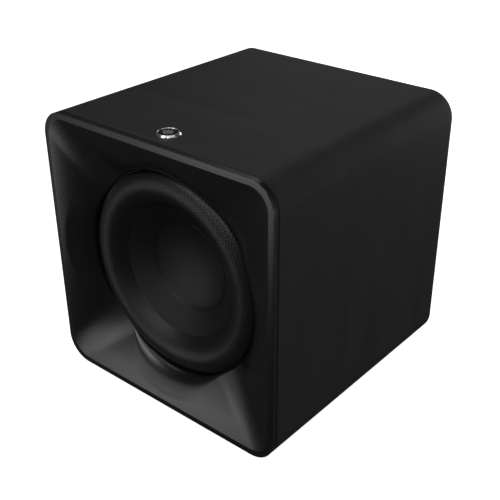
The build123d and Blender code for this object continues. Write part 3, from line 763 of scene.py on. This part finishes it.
def dial_marks(name, node, reach, count=11, sweep=300):
    """Painted ticks on the plate round a knob."""
    low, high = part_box(node)
    middle = ((low[0] + high[0]) / 2, (low[2] + high[2]) / 2)
    half = 0.3 * MM
    face = plate_high[1]
    marks = []
    for i in range(count):
        turn = math.radians(sweep * (i / (count - 1) - 0.5))
        long = (3.4 if i in (0, count // 2, count - 1) else 2.2) * MM
        low_corner = (middle[0] - half, face - 0.05 * MM, middle[1] + reach)
        high_corner = (middle[0] + half, face + 0.06 * MM, middle[1] + reach + long)
        marks.append(block(low_corner, high_corner, turn, middle))
    return joined(name, marks, smooth=False)


def pointer(name, node):
    """The pale line in a knob's groove."""
    low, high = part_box(node)
    middle = ((low[0] + high[0]) / 2, (low[2] + high[2]) / 2)
    half = 0.45 * MM
    top = high[1]
    bar = block((middle[0] - half, top - 0.6 * MM, middle[1] + 1.7 * MM),
                (middle[0] + half, top - 0.15 * MM, middle[1] + 7.9 * MM))
    return joined(name, [bar], smooth=False)


# ------------------------------------------------------------------ stage

LIGHT_DISTANCE = 2.5
WORLD_FILL = 0.047
FLOOR_GLOW = 0.95
GLINT_BOX = 0.5
SMALL_BOX = 0.8
BROAD_BOX = 1.1
OVERHEAD_BOX = 1.6

# Name, azimuth and elevation in degrees, side in metres, power in watts
SOFTBOXES = (
    ("key_low", -30, -15, SMALL_BOX, 2.27),
    ("key_level", -30, 0, SMALL_BOX, 1.8),
    ("key_wide", -45, -15, SMALL_BOX, 0.76),
    ("front_low", 0, 15, SMALL_BOX, 2.77),
    ("front_middle", -15, 30, SMALL_BOX, 3.18),
    ("front_upper", -15, 45, SMALL_BOX, 5.28),
    ("roll_glint", 36, 42, GLINT_BOX, 5.0),
    ("right_side", 105, -10, BROAD_BOX, 8.68),
    ("right_rear", 105, 20, BROAD_BOX, 2.85),
    ("rear_left_low", -150, 20, BROAD_BOX, 1.03),
    ("rear_left_high", -150, 50, BROAD_BOX, 1.76),
    ("overhead_left", -90, 65, OVERHEAD_BOX, 8.6),
    ("overhead_right", 90, 65, OVERHEAD_BOX, 5.0),
    ("overhead_front", 20, 68, OVERHEAD_BOX, 6.0),
    ("rear", 178, 0, BROAD_BOX, 35),
)


def stage():
    """A pale floor that runs out past the view. It glows, so that it stays pale in soft light."""
    reach = 12.0
    corners = [(x * reach, y * reach, FLOOR_Z) for x, y in ((-1, -1), (1, -1), (1, 1), (-1, 1))]
    floor = piece("floor", corners, [(0, 1, 2, 3)], smooth=False)
    m = Nodes("pale_floor", (0.86, 0.86, 0.86), 0.9, specular=0.0)
    m.tint(m.noise(m.place((1, 1, 1)), 3.0), (0.85, 0.85, 0.85), (0.88, 0.88, 0.88))
    m.shader.inputs["Emission Color"].default_value = (1, 1, 1, 1)
    m.shader.inputs["Emission Strength"].default_value = FLOOR_GLOW
    finish(floor, m.material)
    floor.visible_diffuse = False
    floor.visible_glossy = False
    floor.visible_shadow = False


def direction(azimuth, elevation):
    """The way from the object at an azimuth and elevation. Azimuth 0 is straight in front."""
    level = math.cos(elevation)
    return Vector((math.sin(azimuth) * level, -math.cos(azimuth) * level, math.sin(elevation)))


def camera():
    """The camera, in cabinet widths from the middle of the front's lower edge."""
    azimuth = math.radians(39.723)
    elevation = math.radians(29.043)
    place = Vector((1.8259, -1.6629, 1.9788)) * WIDTH
    right = Vector((math.cos(azimuth), math.sin(azimuth), 0))
    back = direction(azimuth, elevation)
    up = back.cross(right)
    turn = Matrix((right, up, back)).transposed()
    data = bpy.data.cameras.new("camera")
    data.sensor_width = 36
    data.lens = 62.36
    data.shift_x = -0.0178
    data.shift_y = 0.0056
    made = bpy.data.objects.new("camera", data)
    origin = Vector((0, FRONT, bezel_low[2]))
    made.matrix_world = Matrix.Translation(origin + place) @ turn.to_4x4()
    bpy.context.scene.collection.objects.link(made)
    bpy.context.scene.camera = made


def softbox(name, azimuth, elevation, size, power):
    """A square light that faces the woofer's middle from a direction in degrees."""
    way = direction(math.radians(azimuth), math.radians(elevation))
    data = bpy.data.lights.new(name, "AREA")
    data.size = size
    data.energy = power
    made = bpy.data.objects.new(name, data)
    made.location = Vector((0, 0, AXIS_Z)) + way * LIGHT_DISTANCE
    made.rotation_euler = way.to_track_quat("Z", "Y").to_euler()
    made.visible_camera = False
    bpy.context.scene.collection.objects.link(made)


def light_studio():
    """White all round for the camera, dim for the object, and the softboxes that shape it."""
    world = bpy.data.worlds.new("studio")
    world.use_nodes = True
    tree = world.node_tree
    seen = tree.nodes.new("ShaderNodeLightPath")
    level = tree.nodes.new("ShaderNodeMapRange")
    level.inputs["To Min"].default_value = WORLD_FILL
    level.inputs["To Max"].default_value = 1.0
    tree.links.new(seen.outputs["Is Camera Ray"], level.inputs["Value"])
    tree.nodes["Background"].inputs["Color"].default_value = (1, 1, 1, 1)
    tree.links.new(level.outputs["Result"], tree.nodes["Background"].inputs["Strength"])
    bpy.context.scene.world = world
    for row in SOFTBOXES:
        softbox(*row)
    bpy.context.scene.view_settings.view_transform = "Standard"


# ------------------------------------------------------------------ assembly

WEAVE = 5.0 * MM

camera()
stage()
light_studio()

wrap = wood_vinyl()
raw_board = board("raw_board", (0.42, 0.31, 0.20))
painted_board = board("painted_board", grey(0.014))
bezel_plastic = moulded("bezel_plastic", grey(0.0015), 0.26, grain=1800, depth=0.000003,
                        specular=0.85)
foam = moulded("black_foam", grey(0.006), 0.9, grain=900, depth=0.0002, specular=0.1)
rubber = moulded("foot_rubber", grey(0.015), 0.7, grain=700, depth=0.00004, specular=0.3)
roll_rubber = weave("roll_rubber", grey(0.006), WEAVE, 0.00004, 0.36, 0.5, uv=True)
cone_fibre = weave("cone_fibre", grey(0.008), 2.4 * MM, 0.00022, 0.45, 0.42)
cap_fibre = weave("cap_fibre", grey(0.008), 2.4 * MM, 0.00012, 0.38, 0.42)
chrome = metal("badge_chrome", (0.88, 0.87, 0.86), 0.2)
gloss_black = moulded("gloss_black", grey(0.008), 0.12, grain=300, depth=0.000001, specular=0.6)
coated_steel = powder_coat("coated_steel", grey(0.015))
black_screw = metal("black_screw", grey(0.05), 0.4)
zinc = metal("zinc", (0.6, 0.6, 0.62), 0.35, (1, 6, 1))
nylon = moulded("black_nylon", grey(0.014), 0.5)
satin_black = moulded("satin_black", grey(0.012), 0.4)
brass = metal("plated_brass", (0.75, 0.58, 0.28), 0.25)
nickel = metal("nickel", (0.68, 0.66, 0.60), 0.25, (1, 8, 1))
copper = metal("copper", (0.72, 0.35, 0.18), 0.35, (1, 40, 1))
aluminium = metal("aluminium", (0.70, 0.70, 0.71), 0.35, (1, 1, 12))
ferrite = moulded("ferrite", grey(0.06), 0.7, grain=500, depth=0.00008)
circuit = moulded("solder_mask", (0.02, 0.12, 0.045), 0.3, grain=600, depth=0.00001)
cloth = weave("spider_cloth", (0.45, 0.33, 0.13), 1.6 * MM, 0.0002, 0.8, 0.2)
wadding = moulded("wadding", (0.20, 0.20, 0.19), 0.95, grain=160, depth=0.002, specular=0.1)
white_core = moulded("white_core", (0.75, 0.75, 0.73), 0.35)
red_core = moulded("red_core", (0.5, 0.015, 0.015), 0.35)
paint = moulded("pale_paint", (0.62, 0.62, 0.6), 0.5, grain=2500)
lens = clear_lens("led_lens", (0.7, 0.75, 0.8))

FINISHES = (
    (raw_board, "front_baffle internal_brace"),
    (painted_board, "rear_panel"),
    (wadding, "acoustic_damping"),
    (foam, "bezel_gasket woofer_gasket amp_gasket"),
    (rubber, "foot_front_left foot_front_right foot_rear_left foot_rear_right"),
    (zinc, "bezel_screws foot_screws top_plate pole_yoke amp_box"),
    (black_screw, "woofer_screws"),
    (coated_steel, "woofer_basket amp_plate"),
    (aluminium, "coil_former heatsink"),
    (copper, "voice_coil"),
    (ferrite, "magnet transformer"),
    (nylon, "port_tube terminal_block speaker_harness mains_inlet gain_pot lowpass_pot"),
    (nylon, "phase_switch_body power_switch_body"),
    (satin_black, "supply_capacitors gain_knob lowpass_knob phase_slider power_rocker"),
    (circuit, "power_board amplifier_board control_board"),
    (brass, "board_standoffs rca_shell_left rca_shell_right"),
    (nickel, "inlet_pins gain_shaft lowpass_shaft"),
    (white_core, "rca_insulator_left"),
    (red_core, "rca_insulator_right"),
    (lens, "status_led"),
)
for material, nodes in FINISHES:
    for node in nodes.split():
        finish(node, material)


def stand_for(made, node, body, material):
    """A piece that is shown in place of a CAD node."""
    finish(made, material)
    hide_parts(node)
    if body:
        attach(made, body)


stand_for(cabinet(), "cabinet_shell", "cabinet", wrap)
stand_for(bezel(), "front_bezel", "cabinet", bezel_plastic)
stand_for(cone(), "cone", "cone_assembly", cone_fibre)
stand_for(dust_cap(), "dust_cap", "cone_assembly", cap_fibre)
stand_for(port_flare(), "port_flare", "cabinet", nylon)
stand_for(plate_screws(), "amp_screws", "cabinet", black_screw)

badge_bezel, badge_disc, badge_mark = badge()
stand_for(badge_bezel, "badge_ring", "cabinet", chrome)
stand_for(badge_disc, "badge_face", "cabinet", gloss_black)
finish(badge_mark, chrome)
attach(badge_mark, "cabinet")

roll = surround(WEAVE)
stand_for(roll, "surround", None, roll_rubber)
blend_by_radius(roll)
bent_copy("spider_cloth", "spider", cloth)
bent_copy("tinsel_pair", "tinsel_leads", copper)

for side in ("gain", "lowpass"):
    ticks = dial_marks(f"{side}_ticks", f"{side}_knob", 11.2 * MM)
    finish(ticks, paint)
    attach(ticks, "cabinet")
    line = pointer(f"{side}_pointer", f"{side}_knob")
    finish(line, paint)
    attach(line, f"{side}_control")
